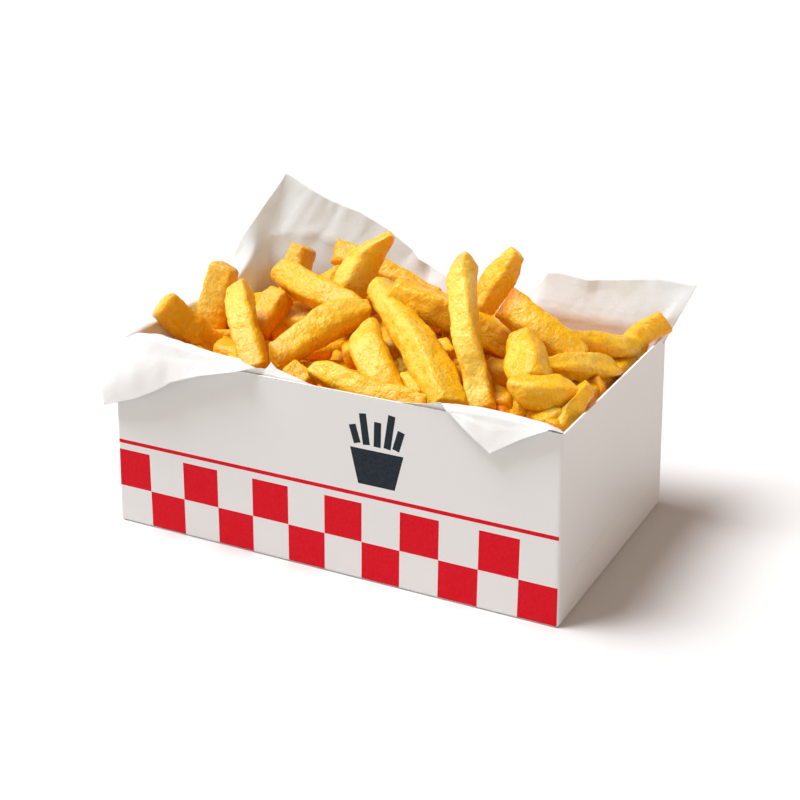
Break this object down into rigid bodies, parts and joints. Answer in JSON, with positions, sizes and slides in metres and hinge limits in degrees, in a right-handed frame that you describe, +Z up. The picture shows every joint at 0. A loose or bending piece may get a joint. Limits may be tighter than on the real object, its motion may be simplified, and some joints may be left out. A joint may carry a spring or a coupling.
{
  "type": "french fries in a lined carton",
  "caption": "Heap of thick golden french fries in an open rectangular paperboard carton, lined with a sheet of white greaseproof paper that stands up and folds over the rim.",
  "frame": {"origin": "middle of the carton's flat underside", "axes": "+X along the long front panel from left to right, -Y out of the front panel, +Z up out of the open top"},
  "size_m": [0.1645, 0.1016, 0.0976],
  "materials": {
    "board": "satin",
    "paper": "matte",
    "fries": "satin"
  },
  "bodies": {
    "root": {"carton": "board", "liner": "paper", "fries": "fries"}
  },
  "joints": []
}
